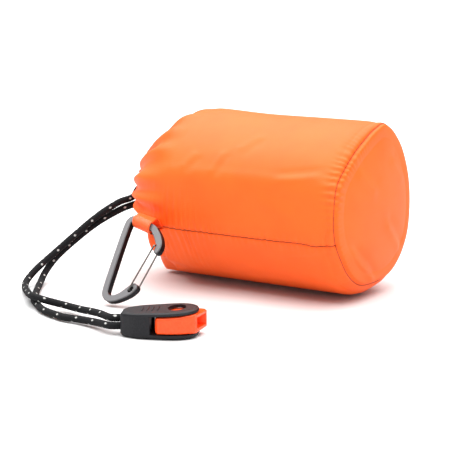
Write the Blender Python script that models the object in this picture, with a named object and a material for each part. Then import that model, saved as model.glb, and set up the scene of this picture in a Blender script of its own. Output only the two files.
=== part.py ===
"""Emergency tube tent, rolled up in a drawstring stuff sack.

The sack lies on its side along X: its sewn base panel is at +X and its gathered mouth at -X.
The drawcord ends in a housing that holds a whistle, and a small wire gate carabiner hangs
from a ribbon loop in the side seam. Metres, +Z up, and the sack rests on z = 0.
"""

from math import cos, pi, radians, sin

import bmesh
import bpy
from mathutils import Matrix, Vector
from mathutils.geometry import interpolate_bezier

# Clearance between pieces that touch
GAP = 0.0003

# Stuff sack
SACK_RADIUS = 0.0405
SACK_AXIS_Z = 0.0398          # lower than the radius, so the sack rests on a flat strip
SACK_SEAM_X = 0.0592          # the plane of the seam between side panel and base panel
SEAM_RADIUS = 0.0358          # of the base panel, which is drawn in a little by its seam
FABRIC = 0.0008               # the side panel with its coating and creases
RING_POINTS = 64
BASE_BULGE = 0.0034           # how far the base panel domes out past its seam
SEAM_DROP = radians(15)       # the side seam runs this far below the sack's middle height
SEAM_Y = -SACK_RADIUS * cos(SEAM_DROP)
SEAM_Z = SACK_AXIS_Z - SACK_RADIUS * sin(SEAM_DROP)

# Hem of the gathered mouth, folded in round the drawcord
HEM_X = -0.0625
HEM_RADIUS = 0.0080           # of the ring that the cord makes inside the hem
CORD_RADIUS = 0.00155
CORD_STEP = 0.0064            # from one point of the cord's line to the next
HEM_BORE = CORD_RADIUS + 0.0004
ANGLE_OUT = radians(52)       # where the strands leave the ring, above and below its near side

# Rolled tube tent
ROLL_TURNS = 5
ROLL_LAYER = 0.0070           # pitch from one turn of the folded sheet to the next
ROLL_CORE = 0.0022
ROLL_X = (-0.0370, 0.0515)

# Ribbon loop
RIBBON_WIDTH = 0.0104
RIBBON_THICKNESS = 0.0005
RIBBON_EYE = 0.0029           # inner radius where it goes round the carabiner

# Carabiner, drawn in its own plane: u across, v up from its lowest point
CARABINER_FOOT = Vector((-0.0299, -0.0749, 0.0003))
CARABINER_LEAN = radians(33)
CARABINER_THICKNESS = 0.0036
BAR_HALF = 0.00155            # half the bar's width in its plane
BAR_SLOPE = radians(14)       # the top bar runs down towards the nose
BAR_CENTRE = (0.0018, 0.0386)
GATE_PIVOT = (0.0074, 0.0072)
WIRE_RADIUS = 0.0004
WIRE_END_OFFSET = 0.0006      # each wire end sits this far from the pivot's middle
GATE_NOTCH = (0.0125, 0.0289)
PIVOT_HEADING = radians(46)   # the two wire ends lie along the body's foot
PIVOT_BORE = WIRE_RADIUS + 0.00062
WIRE_SLOT = WIRE_RADIUS + 0.00035

# Whistle housing, in its own frame: s along it from the cord end, t across, z up
HOUSING_ORIGIN = Vector((0.0003, -0.1104, 0.0))
HOUSING_HEADING = radians(27)
HOUSING_REAR_HEIGHT = 0.0098
HOUSING_FRONT_HEIGHT = 0.0118
HOUSING_LENGTH = 0.0322
HOUSING_SLOPE = (HOUSING_FRONT_HEIGHT - HOUSING_REAR_HEIGHT) / HOUSING_LENGTH
POCKET_START = 0.0130
PLATE_BOTTOM = 0.0017
PLATE_TOP = 0.0013
CORD_EYE = 0.0037             # radius of the hole that the two cord ends enter
KNOT_ROOM = (0.0048, 0.0038)  # half width and half height of the space that holds the knot
CORD_END = 0.0045             # where the cord ends meet the knot
WHISTLE_START = 0.0150
WHISTLE_END = 0.0350
LIP_DISH = 0.0007             # the lip is hollow by this much between top and bottom
LIP_SLANT = 0.0034            # and its near side is cut back by this much
WINDOW_S = 0.0230
WINDOW_T = 0.0008             # the window sits a little off the middle line

# Sewing thread
THREAD_RADIUS = 0.0003
SIDE_SEAM_X = (-0.0265, 0.0500)


# ---------------------------------------------------------------- helpers

def clear_scene():
    for item in list(bpy.data.objects):
        bpy.data.objects.remove(item, do_unlink=True)


def material(name, colour, roughness, metallic=0.0):
    made = bpy.data.materials.new(name)
    made.use_nodes = True
    shader = made.node_tree.nodes["Principled BSDF"]
    shader.inputs["Base Color"].default_value = (*colour, 1.0)
    shader.inputs["Roughness"].default_value = roughness
    shader.inputs["Metallic"].default_value = metallic
    return made


def add_object(name, verts, faces, finish=None, crease=radians(40)):
    mesh = bpy.data.meshes.new(name)
    mesh.from_pydata([tuple(v) for v in verts], [], faces)
    shell = bmesh.new()
    shell.from_mesh(mesh)
    bmesh.ops.recalc_face_normals(shell, faces=shell.faces)
    shell.to_mesh(mesh)
    shell.free()
    mesh.shade_smooth()
    mesh.set_sharp_from_angle(angle=crease)
    item = bpy.data.objects.new(name, mesh)
    bpy.context.collection.objects.link(item)
    if finish:
        mesh.materials.append(finish)
    return item


def loft(rings, closed=False):
    """Skin rings of equal length; closed joins last to first, else both ends are capped."""
    count = len(rings[0])
    verts = [point for ring in rings for point in ring]
    faces = []
    for k in range(len(rings) - (0 if closed else 1)):
        a = k * count
        b = ((k + 1) % len(rings)) * count
        for i in range(count):
            j = (i + 1) % count
            faces.append((a + i, a + j, b + j, b + i))
    if not closed:
        faces.append(tuple(range(count)))
        faces.append(tuple(len(verts) - 1 - i for i in range(count)))
    return verts, faces


def cut(item, cutter):
    cutter.hide_render = True
    cutter.display_type = "WIRE"
    step = item.modifiers.new("cut_" + cutter.name, "BOOLEAN")
    step.operation = "DIFFERENCE"
    step.solver = "EXACT"
    step.object = cutter


def box_points(low, high):
    xs, ys, zs = zip(low, high)
    return [(x, y, z) for x in xs for y in ys for z in zs]


BOX_FACES = [(0, 1, 3, 2), (4, 6, 7, 5), (0, 4, 5, 1), (2, 3, 7, 6), (0, 2, 6, 4), (1, 5, 7, 3)]


def smooth_path(points, steps):
    """Catmull-Rom curve through the points, steps samples to each span."""
    ends = [points[0] * 2 - points[1], *points, points[-1] * 2 - points[-2]]
    path = []
    for before, start, stop, after in zip(ends, ends[1:], ends[2:], ends[3:]):
        handle_1 = start + (stop - before) / 6
        handle_2 = stop - (after - start) / 6
        path += interpolate_bezier(start, handle_1, handle_2, stop, steps + 1)[:-1]
    return path + [points[-1]]


def even_path(points, spacing):
    """The same route with points at an even spacing."""
    fine = smooth_path(points, 24)
    lengths = [0.0]
    for start, stop in zip(fine, fine[1:]):
        lengths.append(lengths[-1] + (stop - start).length)
    count = round(lengths[-1] / spacing)
    path, k = [], 0
    for i in range(count + 1):
        target = lengths[-1] * i / count
        while k < len(fine) - 2 and lengths[k + 1] < target:
            k += 1
        share = (target - lengths[k]) / (lengths[k + 1] - lengths[k])
        path.append(fine[k].lerp(fine[k + 1], share))
    return path


def tube(name, path, radius, finish):
    curve = bpy.data.curves.new(name, "CURVE")
    curve.dimensions = "3D"
    curve.bevel_depth = radius
    curve.bevel_resolution = 2
    curve.use_fill_caps = True
    spline = curve.splines.new("POLY")
    spline.points.add(len(path) - 1)
    for spot, point in zip(spline.points, path):
        spot.co = (*point, 1.0)
    curve.materials.append(finish)
    item = bpy.data.objects.new(name, curve)
    bpy.context.collection.objects.link(item)
    return item


# ---------------------------------------------------------------- stuff sack

def sack_ring(x, radius, top=None, bottom=None, floor=0.0):
    """A ring round the sack's axis, flattened where the sack rests.

    radius is the ring's size at the sides; top and bottom are its sizes there, if they differ."""
    ring = []
    for k in range(RING_POINTS):
        angle = 2 * pi * k / RING_POINTS
        height = sin(angle)
        far = (top or radius) if height > 0 else (bottom or radius)
        reach = radius + (far - radius) * height ** 2
        z = SACK_AXIS_Z + reach * height
        ring.append(Vector((x, -reach * cos(angle), max(z, floor))))
    return ring


def side_profile():
    """Outer meridians from the base seam to the hem, as (x, side, top and bottom radius).

    The mouth end slopes more at the top, because the cloth sags on the roll inside."""
    full = SACK_RADIUS
    knots = [(SACK_SEAM_X, SEAM_RADIUS, SEAM_RADIUS, SEAM_RADIUS),
             (0.0570, 0.0382, 0.0382, 0.0382), (0.0525, 0.0400, 0.0400, 0.0400),
             (0.0300, full, full, full), (0.0000, full, full, full),
             (-0.0280, 0.0402, 0.0399, full), (-0.0385, 0.0390, 0.0378, 0.0404),
             (-0.0475, 0.0352, 0.0328, 0.0392), (-0.0535, 0.0298, 0.0268, 0.0330),
             (-0.0582, 0.0230, 0.0212, 0.0245), (-0.0618, 0.0150, 0.0148, 0.0152)]
    xs = smooth_path([Vector((x, 0, 0)) for x, *_ in knots], 2)
    radii = smooth_path([Vector(sizes) for _, *sizes in knots], 2)
    return [(spot.x, *size) for spot, size in zip(xs, radii)]


def make_side_panel(finish):
    outer = side_profile()
    tucked = FABRIC * 0.6         # towards the mouth the cloth's thickness lies partly along X
    inner = [(x + tucked * (x < -0.040), *(size - FABRIC for size in sizes)) for x, *sizes in outer]
    hook_start, hook_end, hook_steps = radians(165), radians(452), 16
    hook = [hook_start + (hook_end - hook_start) * k / hook_steps for k in range(hook_steps + 1)]

    def fold(angle, reach):
        return HEM_X + reach * cos(angle), HEM_RADIUS + reach * sin(angle)

    outside = outer + [fold(angle, HEM_BORE + FABRIC) for angle in hook]
    inside = [fold(angle, HEM_BORE) for angle in reversed(hook)] + inner[::-1]
    rings = [sack_ring(*sizes) for sizes in outside]
    rings += [sack_ring(*sizes, floor=FABRIC) for sizes in inside]
    panel = add_object("sack_side_panel", *loft(rings, closed=True), finish)
    half_exit = 0.0090            # the strands leave through a gap on the hem's near side
    exit_low = (HEM_X - 0.006, -0.0165, SACK_AXIS_Z - half_exit)
    exit_high = (HEM_X + 0.001, -0.0030, SACK_AXIS_Z + half_exit)
    cut(panel, add_object("cord_exit_cutter", box_points(exit_low, exit_high), BOX_FACES))


def make_base_panel(finish):
    """Slightly domed disc whose rim is sewn to the end of the side panel."""
    lip = 0.0012
    rear = SACK_SEAM_X + GAP
    bends = [pi / 2 * k / 9 for k in range(9)]
    front = [(rear + lip * sin(a) + (BASE_BULGE - lip) * (1 - cos(a)),
              SEAM_RADIUS * cos(a) + 0.0004 * sin(2 * a)) for a in bends]
    back = [(rear, SEAM_RADIUS - FABRIC)]
    back += [(max(x - FABRIC, rear), r - FABRIC) for x, r in front[1:]]
    rings = [sack_ring(x, r) for x, r in front[::-1] + back]
    add_object("sack_base_panel", *loft(rings), finish)


def make_tent_roll(finish):
    """The tent's sheet, folded to the width of the sack and rolled up into a spiral."""
    steps = 28
    turns = [k / steps for k in range((ROLL_TURNS - 1) * steps + 1)]

    def spiral(offset):
        radii = [ROLL_CORE + ROLL_LAYER * turn + offset for turn in turns]
        return [(-radius * cos(2 * pi * turn), SACK_AXIS_Z + radius * sin(2 * pi * turn))
                for turn, radius in zip(turns, radii)]

    ring = spiral(ROLL_LAYER - 2 * GAP) + spiral(0.0)[::-1]
    count = len(ring)
    verts, faces = loft([[Vector((x, y, z)) for y, z in ring] for x in ROLL_X])
    faces = faces[:-2]
    for k in range(len(turns) - 1):
        quad = (k, k + 1, count - 2 - k, count - 1 - k)
        faces.append(quad)
        faces.append(tuple(count + i for i in reversed(quad)))
    add_object("tube_tent_roll", verts, faces, finish)


def make_seam_threads(finish):
    """The sewing thread of each seam, as one line of thread lying on the cloth."""
    off_cloth = THREAD_RADIUS + GAP
    outward = Vector((0, -cos(SEAM_DROP), -sin(SEAM_DROP)))
    place = Vector((0, SEAM_Y, SEAM_Z)) + outward * off_cloth
    start, stop = SIDE_SEAM_X
    steps = 5
    line = [Vector((start + (stop - start) * k / steps, place.y, place.z)) for k in range(steps + 1)]
    tube("side_seam_thread", line, THREAD_RADIUS, finish)
    ring_x, ring_radius = SACK_SEAM_X - 0.0022, 0.0382 + off_cloth
    gap_below, steps = radians(17), 60
    ring = []
    for k in range(steps + 1):
        angle = -pi / 2 + gap_below + (2 * pi - 2 * gap_below) * k / steps
        ring.append(Vector((ring_x, ring_radius * cos(angle), SACK_AXIS_Z + ring_radius * sin(angle))))
    tube("base_seam_thread", ring, THREAD_RADIUS, finish)


# ---------------------------------------------------------------- carabiner and its loop

def carabiner_frame():
    """Axes of the carabiner's plane: across, up, and out of its front face."""
    across = Vector((1, 0, 0))
    up = Vector((0, sin(CARABINER_LEAN), cos(CARABINER_LEAN)))
    out = Vector((0, -cos(CARABINER_LEAN), sin(CARABINER_LEAN)))
    return across, up, out


def on_carabiner(u, v, height=CARABINER_THICKNESS / 2):
    across, up, out = carabiner_frame()
    return CARABINER_FOOT + across * u + up * v + out * height


def bar_axis():
    across, up, _ = carabiner_frame()
    return across * cos(BAR_SLOPE) - up * sin(BAR_SLOPE)


def carabiner_spine():
    """Centre line from the nose tip, over the top bar and down to the gate's end."""
    run = Vector((cos(BAR_SLOPE), -sin(BAR_SLOPE), 0))
    middle = Vector((*BAR_CENTRE, 0))
    half = BAR_HALF
    knots = [(0.0138, 0.0266, 0.9 * half), (0.0141, 0.0280, 0.98 * half),
             (0.0138, 0.0300, 1.02 * half), (0.0122, 0.0328, 1.05 * half),
             (0.0098, 0.0354, half)]
    path = [(Vector((u, v, 0)), w) for u, v, w in knots]
    path += [(middle + run * 0.0054, half), (middle - run * 0.0054, half)]
    knots = [(-0.0056, 0.0393, half), (-0.0063, 0.0370, half),
             (-0.0065, 0.0300, half), (-0.0064, 0.0188, half), (-0.0061, 0.0066, half),
             (-0.0054, 0.0034, half), (-0.0031, 0.0018, half), (0.0002, 0.0022, half),
             (0.0035, 0.0040, 1.15 * half), (0.0062, 0.0062, 1.4 * half),
             (0.0082, 0.0083, 1.35 * half)]
    return path + [(Vector((u, v, 0)), w) for u, v, w in knots]


def carabiner_outline():
    path = carabiner_spine()
    points = smooth_path([point for point, _ in path], 3)
    widths = smooth_path([Vector((w, 0, 0)) for _, w in path], 3)
    left, right = [], []
    for k, (point, width) in enumerate(zip(points, widths)):
        before = points[max(k - 1, 0)]
        after = points[min(k + 1, len(points) - 1)]
        along = (after - before).normalized()
        side = Vector((-along.y, along.x, 0)) * width.x
        left.append(point + side)
        right.append(point - side)

    def rounded_end(point, outwards, width):
        start = Vector((-outwards.y, outwards.x, 0))
        return [point + (start * cos(a) + outwards * sin(a)) * width
                for a in (pi * k / 6 for k in range(1, 6))]

    tip_out = (points[0] - points[1]).normalized()
    foot_out = (points[-1] - points[-2]).normalized()
    foot = rounded_end(points[-1], foot_out, widths[-1].x)
    tip = rounded_end(points[0], tip_out, widths[0].x)
    return left + foot + right[::-1] + tip


def make_carabiner(finish):
    outline = carabiner_outline()
    count = len(outline)
    chamfer = 0.00035
    layers = [(0.0, chamfer), (chamfer, 0.0), (CARABINER_THICKNESS - chamfer, 0.0),
              (CARABINER_THICKNESS, chamfer)]
    rings = []
    for height, inset in layers:
        ring = []
        for k, point in enumerate(outline):
            along = (outline[(k + 1) % count] - outline[k - 1]).normalized()
            inward = Vector((along.y, -along.x, 0))
            spot = point + inward * inset
            ring.append(on_carabiner(spot.x, spot.y, height))
        rings.append(ring)
    body = add_object("carabiner_body", *loft(rings), finish, crease=radians(30))
    right_through = (-0.001, CARABINER_THICKNESS + 0.001)
    notch_u, notch_v = GATE_NOTCH
    notch = [[on_carabiner(notch_u + WIRE_SLOT * cos(a), notch_v + WIRE_SLOT * sin(a), h)
              for a in (2 * pi * k / 12 for k in range(12))] for h in right_through]
    cut(body, add_object("notch_cutter", *loft(notch)))
    slot = []
    for h in right_through:
        ring = []
        for k in range(20):
            angle = 2 * pi * k / 20
            shift = WIRE_END_OFFSET if cos(angle - PIVOT_HEADING) > 0 else -WIRE_END_OFFSET
            u = GATE_PIVOT[0] + shift * cos(PIVOT_HEADING) + PIVOT_BORE * cos(angle)
            v = GATE_PIVOT[1] + shift * sin(PIVOT_HEADING) + PIVOT_BORE * sin(angle)
            ring.append(on_carabiner(u, v, h))
        slot.append(ring)
    cut(body, add_object("pivot_cutter", *loft(slot)))


def make_gate(finish):
    """One bent wire: two pivoting ends, two legs and the cross piece that the nose holds."""
    front = CARABINER_THICKNESS + GAP + WIRE_RADIUS
    back = -GAP - WIRE_RADIUS
    end_u = WIRE_END_OFFSET * cos(PIVOT_HEADING)
    end_v = WIRE_END_OFFSET * sin(PIVOT_HEADING)
    first = (GATE_PIVOT[0] - end_u, GATE_PIVOT[1] - end_v)
    last = (GATE_PIVOT[0] + end_u, GATE_PIVOT[1] + end_v)
    bend = 0.0006

    def leg(foot, height, inner):
        """Points from a pivot hole out over the face and up to the notch."""
        run = (Vector(GATE_NOTCH) - Vector(foot)).normalized()
        turn = Vector(foot) + run * bend
        top = Vector(GATE_NOTCH) - run * bend
        toward = bend if height > inner else -bend
        return [on_carabiner(*foot, inner), on_carabiner(*foot, height - toward),
                on_carabiner(*(Vector(foot) + run * 0.3 * bend), height - 0.3 * toward),
                on_carabiner(*turn, height), on_carabiner(*top, height),
                on_carabiner(*(Vector(GATE_NOTCH) - run * 0.3 * bend), height - 0.3 * toward),
                on_carabiner(*GATE_NOTCH, height - toward)]

    path = leg(first, front, CARABINER_THICKNESS * 0.3)
    path += leg(last, back, CARABINER_THICKNESS * 0.7)[::-1]
    tube("carabiner_gate", path, WIRE_RADIUS, finish)


def make_hang_loop(finish):
    """A ribbon sewn into the side seam, round the carabiner's top bar and back."""
    centre = on_carabiner(*BAR_CENTRE)
    root = Vector((-0.0360, SEAM_Y - 0.0004, SEAM_Z))
    level = Vector((0, -1, 0))
    middle = RIBBON_EYE + RIBBON_THICKNESS / 2

    def round_eye(angle):
        return centre + Vector((0, -cos(angle), sin(angle))) * middle

    top = [root + Vector((0, -0.0002, 0.0011)), root + Vector((0.0012, -0.0040, 0.0048)),
           root + Vector((0.0036, -0.0088, 0.0074))]
    eye = [round_eye(radians(a)) for a in (95, 60, 25, -10, -45, -80, -105)]
    bottom = [root + Vector((0.0036, -0.0090, 0.0012)), root + Vector((0.0012, -0.0042, 0.0002)),
              root + Vector((0, -0.0002, 0.0002))]
    path = smooth_path(top + eye + bottom, 3)
    reach = (centre - root).dot(level)
    seam_width = Vector((1, 0, 0))
    rings = []
    for k, point in enumerate(path):
        along = (path[min(k + 1, len(path) - 1)] - path[max(k - 1, 0)]).normalized()
        share = min(max((point - root).dot(level) / (reach * 0.75), 0.0), 1.0)
        width = seam_width.lerp(bar_axis(), share).normalized() * (RIBBON_WIDTH / 2)
        face = along.cross(width).normalized() * (RIBBON_THICKNESS / 2)
        rings.append([point + width + face, point + width - face,
                      point - width - face, point - width + face])
    add_object("hang_loop", *loft(rings), finish)


# ---------------------------------------------------------------- whistle and drawcord

def on_housing(s, t, z):
    ahead = Vector((cos(HOUSING_HEADING), sin(HOUSING_HEADING), 0))
    left = Vector((-ahead.y, ahead.x, 0))
    return HOUSING_ORIGIN + ahead * s + left * t + Vector((0, 0, z))


def housing_top(s):
    return HOUSING_REAR_HEIGHT + HOUSING_SLOPE * min(max(s, 0), HOUSING_LENGTH)


def housing_outline():
    """Plan outline: narrow at the cord, widest ahead of the middle, round in front."""
    knots = [(0.0000, 0.0034), (0.0008, 0.0049), (0.0028, 0.0061), (0.0058, 0.0076),
             (0.0088, 0.0084), (0.0124, 0.0088), (0.0175, 0.0094), (0.0215, 0.0095),
             (0.0255, 0.0089), (0.0290, 0.0072), (0.0312, 0.0048), (HOUSING_LENGTH, 0.0018)]
    right = smooth_path([Vector((s, -t, 0)) for s, t in knots], 2)
    return right + [Vector((p.x, -p.y, 0)) for p in reversed(right)]


def make_whistle_housing(finish):
    """Two plates joined at the cord end, like a fork, with a window over the whistle."""
    outline = housing_outline()
    middle = Vector((0.018, 0, 0))
    rings = []
    for inset, level in ((0.0014, 0.0), (0.0004, 0.0004), (0.0, 0.0012),
                         (0.0, -0.0012), (0.0004, -0.0004), (0.0013, 0.0)):
        ring = []
        for point in outline:
            spot = point - (point - middle).normalized() * inset
            z = level if len(rings) < 3 else housing_top(spot.x) + level
            ring.append(on_housing(spot.x, spot.y, z))
        rings.append(ring)
    body = add_object("whistle_housing", *loft(rings), finish, crease=radians(50))

    past_sides, past_front = 0.013, HOUSING_LENGTH + 0.004
    pocket = []
    for s in (POCKET_START, past_front):
        low = PLATE_BOTTOM
        high = HOUSING_REAR_HEIGHT + HOUSING_SLOPE * s - PLATE_TOP
        corners = ((-past_sides, low), (past_sides, low), (past_sides, high), (-past_sides, high))
        pocket.append([on_housing(s, t, z) for t, z in corners])
    cut(body, add_object("pocket_cutter", *loft(pocket)))

    window = [oval_ring(WINDOW_S, WINDOW_T, 0.0038, 0.0050, z) for z in (0.0085, 0.0130)]
    cut(body, add_object("window_cutter", *loft(window)))

    axis_z = HOUSING_REAR_HEIGHT / 2
    bore = []
    for s, (wide, high) in ((-0.0010, (CORD_EYE, CORD_EYE)), (0.0042, (CORD_EYE, CORD_EYE)),
                            (0.0052, KNOT_ROOM), (POCKET_START + 0.0005, KNOT_ROOM)):
        bore.append([on_housing(s, wide * cos(a), axis_z + high * sin(a))
                     for a in (2 * pi * k / 20 for k in range(20))])
    cut(body, add_object("cord_bore_cutter", *loft(bore)))


def oval_ring(s, t, half_s, half_t, z):
    """A level oval round a point of the housing's frame."""
    return [on_housing(s + half_s * cos(a), t + half_t * sin(a), z)
            for a in (2 * pi * k / 28 for k in range(28))]


def rounded_section(s, half_width, low, high, corner=0.0010, dish=0.0, slant=0.0):
    """A rounded rectangle across the whistle, drawn back by dish halfway up.

    A slant draws its near side back by that much, and its far side not at all."""
    middle, half_height = (low + high) / 2, (high - low) / 2
    ring = []
    for k in range(4):
        centre_t = (half_width - corner) * (1, -1, -1, 1)[k]
        centre_z = (high - corner, high - corner, low + corner, low + corner)[k]
        for step in range(5):
            angle = pi / 2 * (k + step / 4)
            t = centre_t + corner * cos(angle)
            z = centre_z + corner * sin(angle)
            drawn_back = dish * (1 - ((z - middle) / half_height) ** 2)
            drawn_back += slant * (half_width - t) / (2 * half_width)
            ring.append(on_housing(s - drawn_back, t, z))
    return ring


def make_whistle(finish):
    """Blown at its wide lip; the air meets the edge under the housing's window."""
    low = PLATE_BOTTOM + GAP
    outline = housing_outline()
    half_outline = [(p.x, -p.y) for p in outline[:len(outline) // 2]]

    def half_width(s):
        for (s0, w0), (s1, w1) in zip(half_outline, half_outline[1:]):
            if s0 <= s <= s1:
                return w0 + (w1 - w0) * (s - s0) / (s1 - s0)
        return half_outline[-1][1]

    rings = []
    for s, inset, rounding in ((WHISTLE_START, 0.0019, 0.0009), (WHISTLE_START + 0.0003, 0.0010, 0.0003),
                               (WHISTLE_START + 0.0011, 0.0003, 0.0), (0.0190, 0.0003, 0.0),
                               (0.0225, 0.0003, 0.0), (0.0260, 0.0003, 0.0)):
        high = housing_top(s) - PLATE_TOP - 2 * GAP
        rings.append(rounded_section(s, half_width(s) - inset, low + rounding, high - rounding))
    high = housing_top(HOUSING_LENGTH) - PLATE_TOP - 2 * GAP
    for s, wide, slant in ((0.0285, 0.0074, 0.0), (0.0312, 0.0066, 0.25 * LIP_SLANT),
                           (WHISTLE_END - 0.0010, 0.0058, 0.8 * LIP_SLANT)):
        rings.append(rounded_section(s, wide, low, high, slant=slant))
    rings.append(rounded_section(WHISTLE_END, 0.0053, low + 0.0006, high - 0.0006, dish=LIP_DISH,
                                 slant=LIP_SLANT))
    body = add_object("whistle", *loft(rings), finish, crease=radians(40))

    def hollow(name, s_range, half_t, low, high):
        corners = ((-half_t, low), (half_t, low), (half_t, high), (-half_t, high))
        rings = [[on_housing(s, t, z) for t, z in corners] for s in s_range]
        cut(body, add_object(name, *loft(rings)))

    hollow("windway_cutter", (WINDOW_S + 0.0002, 0.0306), 0.0030, 0.0043, 0.0080)
    hollow("mouth_slot_cutter", (0.0302, WHISTLE_END + 0.002), 0.0041, 0.0036, 0.0083)
    hollow("chamber_cutter", (0.0178, WINDOW_S + 0.0003), 0.0055, 0.0040, 0.0078)
    sound = [oval_ring(WINDOW_S, WINDOW_T, 0.0026, 0.0034, z) for z in (0.0050, 0.0130)]
    cut(body, add_object("sound_hole_cutter", *loft(sound)))


def strand_routes():
    """The drawcord's two free strands, each from the hem's ring to the knot in the housing."""
    eye_z = HOUSING_REAR_HEIGHT / 2
    over = [(-0.0630, -0.0082, 0.0434), (-0.0640, -0.0120, 0.0405), (-0.0648, -0.0156, 0.0370),
            (-0.0681, -0.0222, 0.0351), (-0.0739, -0.0309, 0.0294), (-0.0805, -0.0408, 0.0208),
            (-0.0858, -0.0500, 0.0130), (-0.0888, -0.0583, 0.0073), (-0.0890, -0.0655, 0.0031),
            (-0.0838, -0.0734, 0.0019), (-0.0725, -0.0849, 0.0032), (-0.0603, -0.0958, 0.0050),
            (-0.0510, -0.0973, 0.0045), (-0.0427, -0.0945, 0.0028), (-0.0320, -0.0972, 0.0030),
            (-0.0217, -0.1021, 0.0044), (-0.0130, -0.1070, 0.0056)]
    under = [(-0.0632, -0.0082, 0.0356), (-0.0641, -0.0120, 0.0338), (-0.0680, -0.0201, 0.0316),
             (-0.0751, -0.0294, 0.0259), (-0.0812, -0.0378, 0.0189), (-0.0863, -0.0467, 0.0112),
             (-0.0876, -0.0540, 0.0050), (-0.0838, -0.0625, 0.0018), (-0.0719, -0.0798, 0.0016),
             (-0.0639, -0.0903, 0.0016), (-0.0560, -0.0970, 0.0016), (-0.0475, -0.1027, 0.0016),
             (-0.0340, -0.1072, 0.0016), (-0.0244, -0.1075, 0.0018), (-0.0130, -0.1100, 0.0026)]
    over_end = [on_housing(s, 0.0011, eye_z + 0.0014) for s in (-0.0050, 0.0000, CORD_END)]
    under_end = [on_housing(s, -0.0011, eye_z - 0.0014) for s in (-0.0050, 0.0000, CORD_END)]
    starts = [hem_point(ANGLE_OUT), hem_point(-ANGLE_OUT)]
    return ([starts[0], *map(Vector, over), *over_end],
            [starts[1], *map(Vector, under), *under_end])


def hem_point(angle):
    """A point of the ring that the cord makes inside the hem, measured up from the near side."""
    return Vector((HEM_X, -HEM_RADIUS * cos(angle), SACK_AXIS_Z + HEM_RADIUS * sin(angle)))


def make_drawcord(finish):
    """One cord, as its two free strands and the ring that the hem holds."""
    over, under = strand_routes()
    tube("drawcord_over", even_path(over, CORD_STEP), CORD_RADIUS, finish)
    tube("drawcord_under", even_path(under, CORD_STEP), CORD_RADIUS, finish)
    start = ANGLE_OUT + 2 * GAP / HEM_RADIUS
    count = 10
    ring = [hem_point(start + (2 * pi - 2 * start) * k / count) for k in range(count + 1)]
    tube("drawcord_hem_ring", ring, CORD_RADIUS, finish)


def make_cord_knot(finish):
    """Both cord ends tied together, too wide to pass back through the housing's eye."""
    centre_s, half_s, half_t, half_z = 0.0087, 0.0040, 0.0043, 0.0034
    rings = []
    for k in range(1, 10):
        angle = pi * k / 10
        rings.append([on_housing(centre_s - half_s * cos(angle),
                                 half_t * sin(angle) * cos(a),
                                 HOUSING_REAR_HEIGHT / 2 + half_z * sin(angle) * sin(a))
                      for a in (2 * pi * j / 16 for j in range(16))])
    add_object("cord_knot", *loft(rings), finish)


# ---------------------------------------------------------------- assembly

def build():
    clear_scene()
    nylon = material("orange_nylon", (0.90, 0.14, 0.02), 0.55)
    base_nylon = material("orange_nylon_base", (0.93, 0.17, 0.04), 0.55)
    foil = material("tent_sheet", (0.88, 0.22, 0.05), 0.35)
    thread = material("sewing_thread", (0.42, 0.05, 0.02), 0.8)
    ribbon = material("satin_ribbon", (0.93, 0.20, 0.05), 0.4)
    cord = material("black_cord", (0.02, 0.02, 0.02), 0.8)
    housing = material("black_plastic", (0.03, 0.03, 0.035), 0.6)
    gloss = material("orange_plastic", (0.92, 0.13, 0.03), 0.3)
    anodised = material("grey_anodised", (0.30, 0.29, 0.30), 0.4, 0.9)
    steel = material("gate_steel", (0.42, 0.42, 0.40), 0.3, 1.0)
    make_side_panel(nylon)
    make_base_panel(base_nylon)
    make_tent_roll(foil)
    make_seam_threads(thread)
    make_hang_loop(ribbon)
    make_carabiner(anodised)
    make_gate(steel)
    make_whistle_housing(housing)
    make_whistle(gloss)
    make_drawcord(cord)
    make_cord_knot(cord)


build()
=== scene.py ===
"""Looks of an emergency tube tent in its stuff sack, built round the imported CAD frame.

The sack's cloth is simulated, its seams are sewn with modelled stitches, and the drawcord is a
modelled braid. Metres, +Z up: the sack lies along X with its base panel at +X.
"""

from math import cos, pi, radians, sin, sqrt

import bpy
import numpy as np
from mathutils import Matrix, Vector


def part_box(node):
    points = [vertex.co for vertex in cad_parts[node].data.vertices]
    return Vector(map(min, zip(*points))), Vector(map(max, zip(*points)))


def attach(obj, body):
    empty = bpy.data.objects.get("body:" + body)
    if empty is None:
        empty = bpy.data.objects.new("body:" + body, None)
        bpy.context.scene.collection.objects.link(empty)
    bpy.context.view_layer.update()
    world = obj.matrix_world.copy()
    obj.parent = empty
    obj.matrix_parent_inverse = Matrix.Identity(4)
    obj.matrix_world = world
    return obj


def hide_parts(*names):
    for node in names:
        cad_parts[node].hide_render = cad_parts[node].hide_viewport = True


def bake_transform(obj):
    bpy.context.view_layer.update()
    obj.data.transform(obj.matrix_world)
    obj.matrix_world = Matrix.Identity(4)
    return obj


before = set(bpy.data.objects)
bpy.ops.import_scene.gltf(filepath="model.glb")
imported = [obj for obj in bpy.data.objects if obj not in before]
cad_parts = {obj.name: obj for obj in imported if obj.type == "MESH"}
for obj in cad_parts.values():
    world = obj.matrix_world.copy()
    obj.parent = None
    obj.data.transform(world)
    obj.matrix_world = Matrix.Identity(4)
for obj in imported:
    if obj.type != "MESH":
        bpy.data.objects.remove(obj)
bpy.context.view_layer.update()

# Sizes that follow from the frame
SIDE_LOW, SIDE_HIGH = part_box("sack_side_panel")
SEAM_X = SIDE_HIGH.x                              # plane of the base seam
RADIUS = (SIDE_HIGH.y - SIDE_LOW.y) / 2
AXIS_Z = SIDE_HIGH.z - RADIUS
MOUTH_X = SIDE_LOW.x
BASE_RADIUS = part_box("sack_base_panel")[1].y

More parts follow.
